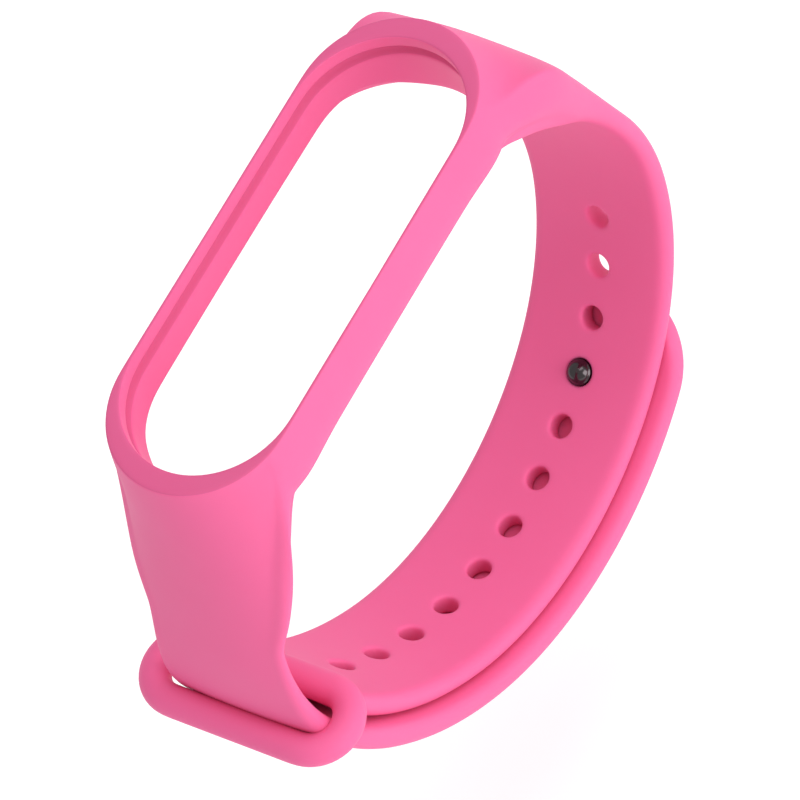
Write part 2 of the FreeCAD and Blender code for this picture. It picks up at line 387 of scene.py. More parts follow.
class Sketch:
    """Points and faces of one mesh while it is being built, in millimetres."""

    def __init__(self) -> None:
        """Starts with nothing."""
        self.points: list[Vector] = []
        self.faces: list[tuple[int, ...]] = []

    def point(self, place: Vector) -> int:
        """Adds a point and returns its number."""
        self.points.append(place)
        return len(self.points) - 1

    def row(self, places: Sequence[Vector]) -> list[int]:
        """Adds points and returns their numbers."""
        return [self.point(p) for p in places]

    def bridge(self, first: Sequence[int], second: Sequence[int], closed: bool = True) -> None:
        """Joins two rows of as many points with four-sided faces.

        Args:
            first: one row's points.
            second: the other row's points.
            closed: whether the last points are joined with the first.
        """
        count = len(first)
        for k in range(count if closed else count - 1):
            n = (k + 1) % count
            self.faces.append((first[k], first[n], second[n], second[k]))

    def tube(self, rows: Sequence[Sequence[int]]) -> None:
        """Joins closed rows one after another."""
        for first, second in zip(rows, rows[1:]):
            self.bridge(first, second)

    def cap(self, loop: Sequence[int]) -> None:
        """Fills a strap's outline with a grid of faces.

        Args:
            loop: the outline, in the order of StrapSection.outline.
        """
        top = list(loop[:FACE + 1])
        right = list(loop[FACE:FACE + EDGE + 1])
        bottom = list(loop[FACE + EDGE:2 * FACE + EDGE + 1])[::-1]
        left = (list(loop[2 * FACE + EDGE:]) + [loop[0]])[::-1]
        place = self.points
        grid = [top]
        for j in range(1, EDGE):
            v = j / EDGE
            line = [left[j]]
            for i in range(1, FACE):
                u = i / FACE
                ruled = (mix(place[top[i]], place[bottom[i]], v)
                         + mix(place[left[j]], place[right[j]], u)
                         - mix(mix(place[top[0]], place[top[-1]], u),
                               mix(place[bottom[0]], place[bottom[-1]], u), v))
                line.append(self.point(ruled))
            grid.append(line + [right[j]])
        grid.append(bottom)
        for first, second in zip(grid, grid[1:]):
            self.bridge(first, second, closed=False)

    def absorb(self, mesh: bpy.types.Mesh) -> None:
        """Adds the points and faces of a finished mesh."""
        base = len(self.points)
        self.points.extend(v.co / MM for v in mesh.vertices)
        self.faces.extend(tuple(base + i for i in p.vertices) for p in mesh.polygons)

    def make(self, name: str, merge: float = 0.02) -> bpy.types.Object:
        """Makes the object, with its doubles merged.

        Args:
            name: the object's name.
            merge: points nearer than this become one.

        Returns:
            The new object.
        """
        mesh = bpy.data.meshes.new(name)
        mesh.from_pydata([p * MM for p in self.points], [], self.faces)
        work = bmesh.new()
        work.from_mesh(mesh)
        bmesh.ops.remove_doubles(work, verts=work.verts, dist=merge * MM)
        bmesh.ops.recalc_face_normals(work, faces=work.faces)
        work.to_mesh(mesh)
        work.free()
        made = bpy.data.objects.new(name, mesh)
        bpy.context.scene.collection.objects.link(made)
        return made


def finished(source: bpy.types.Object, material: bpy.types.Material, levels: int = 1,
             capped: bool = False) -> bpy.types.Object:
    """Subdivides an object's mesh, closes it and shades it smooth.

    Args:
        source: the object with the coarse mesh, which is replaced.
        material: its finish.
        levels: how often it is subdivided.
        capped: whether open ends are closed with flat, sharp-edged caps.

    Returns:
        The object with its final mesh.
    """
    soft = source.modifiers.new("soft", "SUBSURF")
    soft.levels = soft.render_levels = levels
    graph = bpy.context.evaluated_depsgraph_get()
    mesh = bpy.data.meshes.new_from_object(source.evaluated_get(graph))
    source.modifiers.clear()
    old, source.data = source.data, mesh
    bpy.data.meshes.remove(old)
    work = bmesh.new()
    work.from_mesh(mesh)
    if capped:
        rim = [e for e in work.edges if e.is_boundary]
        for edge in rim:
            edge.smooth = False
        made = bmesh.ops.holes_fill(work, edges=rim)["faces"]
        bmesh.ops.triangulate(work, faces=made)
    bmesh.ops.recalc_face_normals(work, faces=work.faces)
    for face in work.faces:
        face.smooth = True
        face.material_index = 0
    work.to_mesh(mesh)
    work.free()
    mesh.name = source.name
    mesh.materials.clear()
    mesh.materials.append(material)
    return source


@dataclass(frozen=True)
class SmoothLine:
    """Curve that passes through its points, read by share of its length."""

    through: tuple[Vector, ...]
    steps: int = 24

    def dense(self) -> Row:
        """Many points of the curve.

        Returns:
            The points, with as many steps between any two that it passes through.
        """
        p = self.through
        ends = [p[0] * 2 - p[1], *p, p[-1] * 2 - p[-2]]
        dense = []
        for a, b, c, d in zip(ends, ends[1:], ends[2:], ends[3:]):
            for k in range(self.steps):
                t = k / self.steps
                dense.append(0.5 * ((2 * b) + (c - a) * t + (2 * a - 5 * b + 4 * c - d) * t * t
                                    + (3 * b - a - 3 * c + d) * t ** 3))
        return dense + [p[-1]]

    def at(self, shares: Sequence[float]) -> Row:
        """Points at shares of the length.

        Args:
            shares: values from 0 to 1, rising.

        Returns:
            A point for each share.
        """
        dense = self.dense()
        lengths = [0.0]
        for a, b in zip(dense, dense[1:]):
            lengths.append(lengths[-1] + (b - a).length)
        result, k = [], 0
        for share in shares:
            target = share * lengths[-1]
            while k < len(dense) - 2 and lengths[k + 1] < target:
                k += 1
            gap = lengths[k + 1] - lengths[k]
            result.append(mix(dense[k], dense[k + 1], (target - lengths[k]) / gap if gap else 0.0))
        return result


# ---- the strap's line round the wrist ---------------------------------------------------------


@dataclass(frozen=True)
class WristLoop:
    """Line of the pierced arm's inner face, walked round the wrist from its shoulder."""

    start: Pair = (20.5, 25.8)
    heading: float = -47.0
    arcs: tuple[Pair, ...] = ((14.0, 66.0), (16.0, 26.5), (28.0, 27.5), (34.0, 30.0),
                              (22.0, 36.0), (18.0, 22.0), (13.0, 160.0))

    def length(self) -> float:
        """Whole length of the line."""
        return sum(length for length, _ in self.arcs)

    def station(self, s: float, offset: float = 0.0) -> tuple[Vector, float]:
        """Point and heading at a length.

        Args:
            s: length along the line.
            offset: distance from the line, away from the wrist.

        Returns:
            The point and the heading in radians.
        """
        x, z = self.start
        heading = math.radians(self.heading)
        for number, (length, radius) in enumerate(self.arcs):
            step = s if number == len(self.arcs) - 1 else min(s, length)
            turn = -step / radius
            cx, cz = x + radius * math.sin(heading), z - radius * math.cos(heading)
            heading += turn
            x, z = cx - radius * math.sin(heading), cz + radius * math.cos(heading)
            s -= step
            if s <= 1e-9:
                break
        return Vector((x - offset * math.sin(heading), 0.0,
                       z + offset * math.cos(heading))), heading

    def outward(self, s: float) -> Vector:
        """Unit vector away from the wrist."""
        heading = self.station(s)[1]
        return Vector((-math.sin(heading), 0.0, math.cos(heading)))

    def onward(self, s: float) -> Vector:
        """Unit vector along the line."""
        heading = self.station(s)[1]
        return Vector((math.cos(heading), 0.0, math.sin(heading)))

    def place(self, s: float, y: float, offset: float) -> Vector:
        """Point beside the line."""
        return self.station(s, offset)[0] + ALONG * y

    def path(self, gap: float = 0.4) -> bpy.types.Object:
        """Makes the line as a curve object.

        Args:
            gap: distance between its points.

        Returns:
            The curve object, for the wrap tree.
        """
        curve = bpy.data.curves.new("wrist_loop", "CURVE")
        curve.dimensions = "3D"
        count = int(self.length() / gap)
        spline = curve.splines.new("POLY")
        spline.points.add(count)
        for k, point in enumerate(spline.points):
            place = self.station(self.length() * k / count)[0] * MM
            point.co = (*place, 1.0)
        made = bpy.data.objects.new("wrist_loop", curve)
        bpy.context.scene.collection.objects.link(made)
        return made


@dataclass(frozen=True)
class Lane:
    """One arm's place on the loop, counted from its shoulder."""

    loop: WristLoop
    side: Side
    base: float
    thickness: float

    def s(self, u: float) -> float:
        """Length along the loop at distance u from the shoulder."""
        return u if self.side is Side.PIERCED else self.loop.length() - u

    def at(self, u: float, height: float) -> Vector:
        """Point in the middle plane, at a height over the arm's inner face."""
        return self.loop.station(self.s(u), self.base + height)[0]

    def row(self, u: float, outline: Sequence[Pair]) -> Row:
        """Points of an outline set square to the arm at distance u."""
        return [self.loop.place(self.s(u), y, self.base + h) for y, h in outline]

    def backward(self, u: float) -> Vector:
        """Unit vector towards the shoulder."""
        return self.loop.onward(self.s(u)) * -self.side.value


@dataclass(frozen=True)
class StrapSection:
    """Cross-section of a strap: flat inside, gently crowned outside, with rounded edges."""

    half: float = 7.95
    thickness: float = 2.1
    corner_y: float = 1.1
    corner_h: float = 0.85
    crown: float = 0.12
    lift: float = 0.0

    def edge_points(self) -> list[Pair]:
        """Rounds the +Y edge.

        Returns:
            Points between the outer and the inner face, ends left out.
        """
        face = self.half - self.corner_y
        top = self.thickness - self.crown
        height = min(self.corner_h, 0.42 * (top - self.lift))
        turn = [math.radians(a) for a in (30.0, 60.0, 88.0)]
        upper = [(face + self.corner_y * math.sin(a), top - height * (1 - math.cos(a)))
                 for a in turn]
        lower = [(y, top + self.lift - h) for y, h in reversed(upper)]
        return upper + [(self.half, (top + self.lift) / 2)] + lower

    def outline(self) -> list[Pair]:
        """Whole outline.

        Returns:
            Pairs of y and height: outer face from -Y to +Y, +Y edge, inner face back, -Y edge.
        """
        face = self.half - self.corner_y
        outer = [(face * v, self.thickness - self.crown * abs(v) ** CROWN_CURVE)
                 for v in spread(FACE)]
        edge = self.edge_points()
        inner = [(-face * v, self.lift) for v in spread(FACE)]
        return outer + edge + inner + [(-y, h) for y, h in reversed(edge)]

    def towards(self, other: "StrapSection", share: float) -> "StrapSection":
        """Section between this one and another."""
        names = ("half", "thickness", "corner_y", "corner_h", "crown", "lift")
        return StrapSection(**{n: mix(getattr(self, n), getattr(other, n), share) for n in names})


@dataclass(frozen=True)
class PlainCourse:
    """Section of the plain arm and its tail, and how they leave the loop's own line."""

    base: float = 2.3                   # height of its inner face over the pierced arm's
    thickness: float = 2.4
    tail_thickness: float = 2.65
    half: float = 7.95
    tail_half: float = 9.2
    widening: Pair = (111.0, 127.0)     # lengths between which the arm widens to the tail
    tail_from: Pair = (105.0, 116.0)    # lengths between which it takes the tail's thickness
    tail_lift: float = 0.25             # the tail lies this much higher
    drift: float = -0.4                 # how far it lies aside, along Y, at the keeper and beyond
    drift_over: Pair = (114.0, 128.0)
    rise: float = 1.12                  # how far it rises against the keeper's outer bar
    rise_over: Pair = (104.0, 116.0)    # the rise starts and is full at these lengths
    fall: float = 0.84                  # share of the rise that is lost again
    fall_over: Pair = (118.0, 129.0)
    tilt: float = 0.05                  # its slope across Y under that bar
    level_over: Pair = (118.0, 128.0)   # lengths between which it is level again

    def _tail_share(self, s: float) -> float:
        """How far the arm has become the tail at length s of the loop."""
        return 1.0 - ease(s, *self.tail_from)

    def section(self, s: float) -> StrapSection:
        """Section at a length.

        Args:
            s: length along the loop.

        Returns:
            The section, which widens towards the tail.
        """
        tail = self._tail_share(s)
        half = mix(self.tail_half, self.half, ease(s, *self.widening))
        return StrapSection(half, mix(self.thickness, self.tail_thickness, tail),
                            mix(1.1, 0.9, tail), 0.9, mix(0.2, 0.12, tail))

    def laid(self, s: float, outline: Sequence[Pair]) -> list[Pair]:
        """Moves an outline to where the strap lies.

        Args:
            s: length along the loop.
            outline: pairs of y and height.

        Returns:
            The outline, pressed against the keeper's outer bar, tilted there, and aside.
        """
        risen = ease(s, *self.rise_over)
        lift = (self.rise * (risen - self.fall * ease(s, *self.fall_over))
                + self.tail_lift * self._tail_share(s))
        aside = self.drift * (1.0 - ease(s, *self.drift_over))
        tilt = self.tilt * (risen - ease(s, *self.level_over))
        return [(y + aside, h + lift + tilt * y) for y, h in outline]


# ---- flat patterns wrapped on the loop -------------------------------------------------------


@dataclass
class LoopWrap:
    """Repeats a flat pattern and lays it along the wrist loop with Geometry Nodes."""

    path: bpy.types.Object
    tree: bpy.types.NodeTree = field(init=False)

    def __post_init__(self) -> None:
        """Builds the tree once."""
        self.tree = self._build()

    def _build(self) -> bpy.types.NodeTree:
        """Builds the wrap tree.

        Returns:
            A geometry tree with named inputs.
        """
        tree = bpy.data.node_groups.new("wrap_on_loop", "GeometryNodeTree")
        face = tree.interface
        for name, kind in (("Pattern", "NodeSocketGeometry"), ("Path", "NodeSocketObject"),
                           ("Count", "NodeSocketInt"), ("Pitch", "NodeSocketFloat"),
                           ("Start", "NodeSocketFloat"), ("Stud tile", "NodeSocketInt"),
                           ("Stud stretch", "NodeSocketFloat"), ("Weld", "NodeSocketFloat"),
                           ("Swell", "NodeSocketFloat"), ("Swell from", "NodeSocketFloat"),
                           ("Swell to", "NodeSocketFloat"), ("Finish", "NodeSocketMaterial")):
            face.new_socket(name=name, in_out="INPUT", socket_type=kind)
        face.new_socket(name="Geometry", in_out="OUTPUT", socket_type="NodeSocketGeometry")
        graph = NodeGraph(tree)
        graph.add("NodeGroupInput")
        entry = graph.last()

        def given(name: str) -> Wire:
            """Input of the tree."""
            return Wire(graph, entry.outputs[name])

        start = graph.add("ShaderNodeCombineXYZ", {}, {"X": given("Start")})
        step = graph.add("ShaderNodeCombineXYZ", {}, {"X": given("Pitch")})
        line = graph.add("GeometryNodeMeshLine", {"mode": "OFFSET"},
                         {"Count": given("Count"), "Start Location": start, "Offset": step})
        tiles = graph.add("GeometryNodeInstanceOnPoints", {},
                          {"Points": line, "Instance": given("Pattern")})
        number = graph.add("GeometryNodeInputIndex")
        chosen = graph.add("FunctionNodeCompare", {"data_type": "INT", "operation": "EQUAL"},
                           {2: number, 3: given("Stud tile")})
        marked = graph.add("GeometryNodeStoreNamedAttribute",
                           {"data_type": "FLOAT", "domain": "INSTANCE"},
                           {"Geometry": tiles, "Name": "stud_tile", "Value": chosen})
        loose = graph.add("GeometryNodeRealizeInstances", {}, {"Geometry": marked})
        pull = graph.add("GeometryNodeInputNamedAttribute", {"data_type": "FLOAT_VECTOR"},
                         {"Name": "hole_pull"})
        mark = graph.add("GeometryNodeInputNamedAttribute", {"data_type": "FLOAT"},
                         {"Name": "stud_tile"})
        reach = graph.add("ShaderNodeVectorMath", {"operation": "SCALE"},
                          {0: pull, "Scale": mark * given("Stud stretch")})
        shaped = graph.add("GeometryNodeSetPosition", {}, {"Geometry": loose, "Offset": reach})
        welded = graph.add("GeometryNodeMergeByDistance", {},
                           {"Geometry": shaped, "Distance": given("Weld")})
        x, y, z = graph.split(graph.add("GeometryNodeInputPosition"))
        rail = graph.add("GeometryNodeObjectInfo", {"transform_space": "ORIGINAL"},
                         {"Object": given("Path")}, "Geometry")
        sample = graph.add("GeometryNodeSampleCurve", {"mode": "LENGTH", "data_type": "FLOAT"},
                           {"Curves": rail, "Length": x}, "Position")
        probe = graph.last()
        out = graph.add("ShaderNodeVectorMath", {"operation": "CROSS_PRODUCT"},
                        {0: Wire(graph, probe.outputs["Tangent"]), 1: ALONG})
        unit = graph.add("ShaderNodeVectorMath", {"operation": "NORMALIZE"}, {0: out})
        swell = graph.add("ShaderNodeMapRange", {},
                          {0: x, 1: given("Swell from"), 2: given("Swell to"),
                           3: given("Swell"), 4: 1.0})
        height = graph.add("ShaderNodeVectorMath", {"operation": "SCALE"},
                           {0: unit, "Scale": z * swell})
        wide = graph.add("ShaderNodeCombineXYZ", {}, {"Y": y})
        over = graph.add("ShaderNodeVectorMath", {"operation": "ADD"}, {0: sample, 1: height})
        there = graph.add("ShaderNodeVectorMath", {"operation": "ADD"}, {0: over, 1: wide})
        laid = graph.add("GeometryNodeSetPosition", {}, {"Geometry": welded, "Position": there})
        real = graph.add("GeometryNodeRealizeInstances", {}, {"Geometry": laid})
        dressed = graph.add("GeometryNodeSetMaterial", {},
                            {"Geometry": real, "Material": given("Finish")})
        graph.add("NodeGroupOutput", {}, {0: dressed})
        return tree

    def lay(self, pattern: bpy.types.Object, material: bpy.types.Material, count: int = 1,
            pitch: float = 0.0, start: float = 0.0, stud_tile: int = -1,
            stud_stretch: float = 0.0, swell: float = 1.0,
            swell_over: Pair = (0.0, 1.0)) -> bpy.types.Mesh:
        """Lays a pattern along the loop and removes it.

        Args:
            pattern: flat mesh, with X along the loop and Z away from the wrist.
            material: its finish.
            count: number of repeats.
            pitch: distance between repeats.
            start: length along the loop of the pattern's origin.
            stud_tile: number of the repeat whose hole is stretched, from 0.
            stud_stretch: how much that hole's radius grows.
            swell: factor on heights before the stretch where it fades to 1.
            swell_over: lengths between which it fades.

        Returns:
            The wrapped mesh.
        """
        wrap = pattern.modifiers.new("wrap", "NODES")
        wrap.node_group = self.tree
        values = {"Path": self.path, "Count": count, "Pitch": pitch * MM, "Start": start * MM,
                  "Stud tile": stud_tile, "Stud stretch": stud_stretch * MM,
                  "Swell": swell, "Swell from": swell_over[0] * MM, "Swell to": swell_over[1] * MM,
                  "Weld": 0.01 * MM, "Finish": material}
        for item in self.tree.interface.items_tree:
            if item.in_out == "INPUT" and item.name in values:
                wrap[item.identifier] = values[item.name]
        graph = bpy.context.evaluated_depsgraph_get()
        mesh = bpy.data.meshes.new_from_object(pattern.evaluated_get(graph))
        bpy.data.objects.remove(pattern)
        return mesh


# ---- tracker frame and shoulders -------------------------------------------------------------


@dataclass(frozen=True)
class RingStop:
    """One place on the stadium line of the tracker frame."""

    end: int            # 1 or -1 on a rounded end, 0 on a long bar
    angle: float        # on an end, from its own axis towards +Y, in degrees
    share: float = 0.0  # on a bar, place along it from -1 to 1
    bar: int = 0        # 1 for the +Y bar, -1 for the -Y bar


@dataclass
class TrackerFrame:
    """Ring that grips the tracker: rim, lip, groove, lower wall and bulging long bars."""

    rim_z: float = 33.0
    opening_half: float = 23.65
    opening_r: float = 9.05
    rim_half: float = 25.95
    rim_r: float = 9.35
    flare: Pair = (0.2, 0.1)       # how much the bars swell and deepen towards the shoulders
    reach: float = 75.0            # the shoulders join the ring over this angle on each side
    wall_depths: tuple[float, float, float] = (6.5, 6.65, 8.9)  # middle, bar end, end of ring
    bulge: tuple[Pair, ...] = ((0.36, 0.8), (0.74, 1.9), (1.02, 3.1), (1.12, 4.2), (0.9, 5.1),
                               (0.45, 5.75), (-0.02, 6.0))  # outer face: swell, depth
    rows: dict[RingStop, list[int]] = field(default_factory=dict)

    def stops(self) -> list[RingStop]:
        """Lists every place round the ring.

        Returns:
            The places, in order.
        """
        angles = spread(24, -90.0, 90.0)
        shares = spread(16, 1.0, -1.0)[1:-1]
        right = [RingStop(1, a) for a in angles]
        left = [RingStop(-1, a) for a in reversed(angles)]
        back = [RingStop(0, 0.0, s, 1) for s in shares]
        front = [RingStop(0, 0.0, -s, -1) for s in shares]
        return right + back + left + front

    def plan(self, stop: RingStop, outer: bool, swell: float) -> Vector:
        """Point in plan on the opening's line or the rim's outer line.

        Args:
            stop: the place on the ring.
            outer: whether it is measured from the rim's outer line.
            swell: distance outwards from that line.

        Returns:
            The point, at height 0.
        """
        radius = (self.rim_r if outer else self.opening_r) + swell
        centre = self.rim_half - self.rim_r if outer else self.opening_half - self.opening_r
        if stop.end:
            a = math.radians(stop.angle)
            return Vector((stop.end * (centre + radius * math.cos(a)), radius * math.sin(a), 0))
        return Vector((centre * stop.share, radius * stop.bar, 0))

    def wall_depth(self, stop: RingStop) -> float:
        """Depth of the wall's lower edge under the rim.

        Args:
            stop: the place on the ring.

        Returns:
            The depth, which is greatest at the ring's ends.
        """
        middle, corner, end = self.wall_depths
        if stop.end:
            return mix(end, corner, ease(abs(stop.angle), 12.0, 62.0))
        return mix(middle, corner, stop.share ** 2)

    def profile(self, stop: RingStop) -> Row:
        """Points from the rim's outer edge over the rim and down the inner wall.

        Args:
            stop: the place on the ring.

        Returns:
            The points, of which the last is the wall's lower edge.
        """
        swing = math.cos(math.radians(stop.angle)) if stop.end else 0.0
        soft = 0.07 + 0.05 * swing
        outer, inner = self.plan(stop, True, 0.0), self.plan(stop, False, 0.0)
        across = (outer - inner).normalized()
        deep = self.wall_depth(stop)
        places = [(outer, 0.06 + 0.05 * swing), (outer - across * soft, 0.0),
                  ((outer + inner) / 2, 0.0), (inner + across * 0.09, 0.0)]
        wall = [(0.0, 0.1), (0.0, 0.7), (0.0, 1.5), (0.05, 1.62), (0.66, 1.66), (0.74, 2.2),
                (0.6, 2.8), (0.05, 2.98), (0.0, 3.16), (0.0, 4.3), (0.0, deep - 0.6),
                (0.08, deep - 0.2), (0.35, deep)]
        points = [p - Vector((0, 0, d)) for p, d in places]
        points += [self.plan(stop, False, inset) - Vector((0, 0, d)) for inset, d in wall]
        return [p + Vector((0, 0, self.rim_z)) for p in points]

    def outside(self, stop: RingStop) -> Row:
        """Outer face of a long bar.

        Args:
            stop: the place on the ring.

        Returns:
            Points between the rim's edge and the wall's lower edge.
        """
        last = self.bulge[-1][1]
        scale = (self.wall_depth(stop) - 0.45) / last
        flare = 1.0 if stop.end else ease(abs(stop.share), 0.75, 1.0)
        points = []
        for swell, depth in self.bulge:
            share = depth / last
            d = depth * mix(1.0, scale, share) + self.flare[1] * flare * share ** 2
            out = swell + self.flare[0] * flare * share
            points.append(self.plan(stop, True, out) + Vector((0, 0, self.rim_z - d)))
        return points

    def _joined(self, stop: RingStop) -> bool:
        """Whether a shoulder takes the place of the outer face."""
        return bool(stop.end) and abs(stop.angle) < self.reach - JUST

    def build(self, sketch: Sketch) -> None:
        """Adds the ring to a sketch, open where the shoulders join it.

        Args:
            sketch: the moulding's sketch.
        """
        stops = self.stops()
        for stop in stops:
            outside = [] if self._joined(stop) else self.outside(stop)[::-1]
            self.rows[stop] = sketch.row(self.profile(stop) + outside)
        for first, second in zip(stops, stops[1:] + stops[:1]):
            a, b = self.rows[first], self.rows[second]
            if self._joined(first) or self._joined(second):
                count = len(self.profile(first))
                sketch.bridge(a[:count], b[:count], closed=False)
            else:
                sketch.bridge(a, b)

    def socket(self, side: Side) -> list[int]:
        """Outline that one shoulder starts from.

        Args:
            side: the ring's end.

        Returns:
            The points, in the order of StrapSection.outline.
        """
        stops = [s for s in self.rows if s.end == side.value
                 and abs(s.angle) <= self.reach + JUST]
        stops.sort(key=lambda s: s.angle)
        lower = len(self.profile(stops[0])) - 1
        outer = [self.rows[s][0] for s in stops]
        inner = [self.rows[s][lower] for s in reversed(stops)]
        plus = self.rows[stops[-1]][lower + 1:][::-1]
        minus = self.rows[stops[0]][lower + 1:]
        return outer + plus + inner + minus


@dataclass
class Shoulder:
    """Swelling between the tracker frame's end and a strap arm."""

    lane: Lane
    ring: TrackerFrame
    length: float                    # distance along the arm at which it has become the strap
    section: StrapSection            # the strap's section there
    outer_edge: tuple[tuple[float, float, float], ...]  # x, y, z of the outer corner line
    inner_edge: tuple[tuple[float, float, float], ...]  # x, y, z of the inner corner line
    inner_middle: tuple[Pair, ...]   # x, z of the inner face's middle line
    swell: float = 0.0               # extra fullness of the outer face
    drift: float = 0.0               # how far its middle swings aside on the way, along Y
    brow: float = 0.35               # how much wider its outer corners are just under the rim
    shares: tuple[float, ...] = (0.02, 0.05, 0.095, 0.15, 0.21, 0.27, 0.33, 0.39, 0.45, 0.51,
                                 0.57, 0.63, 0.69, 0.75, 0.80, 0.85, 0.90, 0.95, 1.0)

    def _outer_middle(self) -> Row:
        """Middle line of the outer face.

        Returns:
            Points of an arc between the rim and the strap, tangent to the strap.
        """
        start = self.lane.at(self.length, self.section.thickness)
        rim = Vector((self.lane.side.value * self.ring.rim_half, 0, self.ring.rim_z - 0.18))
        back = self.lane.backward(self.length)
        normal = back.cross(ALONG)
        chord = rim - start
        radius = chord.length_squared / (2 * normal.dot(chord))
        centre = start + normal * radius
        first, last = start - centre, rim - centre
        sweep = first.angle(last)
        axis = first.cross(last).normalized()
        points = []
        for share in self.shares:
            angle = sweep * (1 - share)
            spoke = first * math.cos(angle) + axis.cross(first) * math.sin(angle)
            full = self.swell * math.sin(math.pi * share ** 1.2) ** 1.5
            away = spoke.normalized()
            if away.dot(Vector((self.lane.side.value, 0, 0))) < 0:
                away = -away
            points.append(centre + spoke + away * full)
        return points

    def _line(self, first: Vector, places: Sequence[Vector], last: Vector, beyond: Vector) -> Row:
        """Smooth line from the ring to the strap.

        Args:
            first: its point on the ring.
            places: points that it passes through.
            last: its point at the strap's start.
            beyond: a point further along the strap, which sets how it leaves.

        Returns:
            A point for each of the shoulder's rows.
        """
        through = SmoothLine((first, *places, last))
        lead = SmoothLine((*through.through, beyond))
        cut = len(through.dense()) - 1
        trimmed = SmoothLine((*lead.dense()[:cut:4], last), 4)
        return trimmed.at(self.shares)

    def build(self, sketch: Sketch) -> list[int]:
        """Adds the shoulder to a sketch.

        Args:
            sketch: the moulding's sketch, which already holds the ring.

        Returns:
            The outline at the strap's end.
        """
        side = self.lane.side.value
        socket = self.ring.socket(self.lane.side)
        final = self.lane.row(self.length, self.section.outline())
        ahead = self.lane.row(self.length + 1.5, self.section.outline())
        base = [sketch.points[k].copy() for k in socket]
        corner_out, corner_in = FACE, FACE + EDGE
        mirror = Vector((side, 1, 1))
        outer_edge = self._line(base[corner_out], [Vector(p) * mirror for p in self.outer_edge],
                                final[corner_out], ahead[corner_out])
        inner_edge = self._line(base[corner_in], [Vector(p) * mirror for p in self.inner_edge],
                                final[corner_in], ahead[corner_in])
        middle_in = FACE + EDGE + FACE // 2
        inner_middle = self._line(base[middle_in],
                                  [Vector((side * x, 0, z)) for x, z in self.inner_middle],
                                  final[middle_in], ahead[middle_in])
        outer_middle = self._outer_middle()
        rows = [socket]
        for k, share in enumerate(self.shares[:-1]):
            rows.append(sketch.row(self._row(share, base, final, outer_middle[k], outer_edge[k],
                                             inner_middle[k], inner_edge[k])))
        rows.append(sketch.row(final))
        sketch.tube(rows)
        return rows[-1]

    def _row(self, share: float, base: Row, final: Row, outer_middle: Vector,
             outer_edge: Vector, inner_middle: Vector, inner_edge: Vector) -> Row:
        """One outline of the shoulder.

        Args:
            share: place between the ring, 0, and the strap, 1.
            base: outline at the ring.
            final: outline at the strap.
            outer_middle: middle of its outer face.
            outer_edge: its outer corner on the +Y side.
            inner_middle: middle of its inner face.
            inner_edge: its inner corner on the +Y side.

        Returns:
            The outline's points.
        """
        reach = math.radians(self.ring.reach)
        fade = ease(share)
        full = self.brow * (ease(share, 0.0, 0.12) - ease(share, 0.15, 0.6))
        outer, inner = [], []
        for v in spread(FACE):
            bow = (1 - math.cos(reach * v)) / (1 - math.cos(reach))
            fall = mix(bow, abs(v) ** CROWN_CURVE, fade)
            wide = mix(math.sin(reach * v) / math.sin(reach), v, fade)
            p = mix(outer_middle, outer_edge, fall)
            y = (outer_edge.y + full * abs(v) ** 5) * wide
            outer.append(Vector((p.x, y, p.z)))
            drop = mix(bow, ease(abs(v), 0.35, 1.0), ease(share, 0.0, 0.35))
            q = mix(inner_middle, inner_edge, drop)
            inner.append(Vector((q.x, inner_edge.y * wide, q.z)))
        edge = []
        first = (base[FACE], base[FACE + EDGE])
        last = (final[FACE], final[FACE + EDGE])
        for k in range(1, EDGE):
            shift = self._offset(base[FACE + k], *first)
            settle = self._offset(final[FACE + k], *last)
            along = mix(shift[0], settle[0], fade)
            out = mix(shift[1], settle[1], ease(share, 0.0, 0.7))
            edge.append(mix(outer_edge, inner_edge, along) + out)
        flip = Vector((1, -1, 1))
        points = outer + edge + inner[::-1] + [p * flip for p in reversed(edge)]
        aside = self.drift * (ease(share, 0.0, 0.4) - ease(share, 0.4, 1.0))
        return [p + ALONG * aside for p in points]

    @staticmethod
    def _offset(point: Vector, first: Vector, last: Vector) -> tuple[float, Vector]:
        """Where a point lies beside a chord.

        Args:
            point: the point.
            first: the chord's start.
            last: the chord's end.

        Returns:
            Its share of the way along the chord, and its offset from it.
        """
        chord = last - first
        share = (point - first).dot(chord) / chord.length_squared
        return share, point - (first + chord * share)


# ---- arms ------------------------------------------------------------------------------------


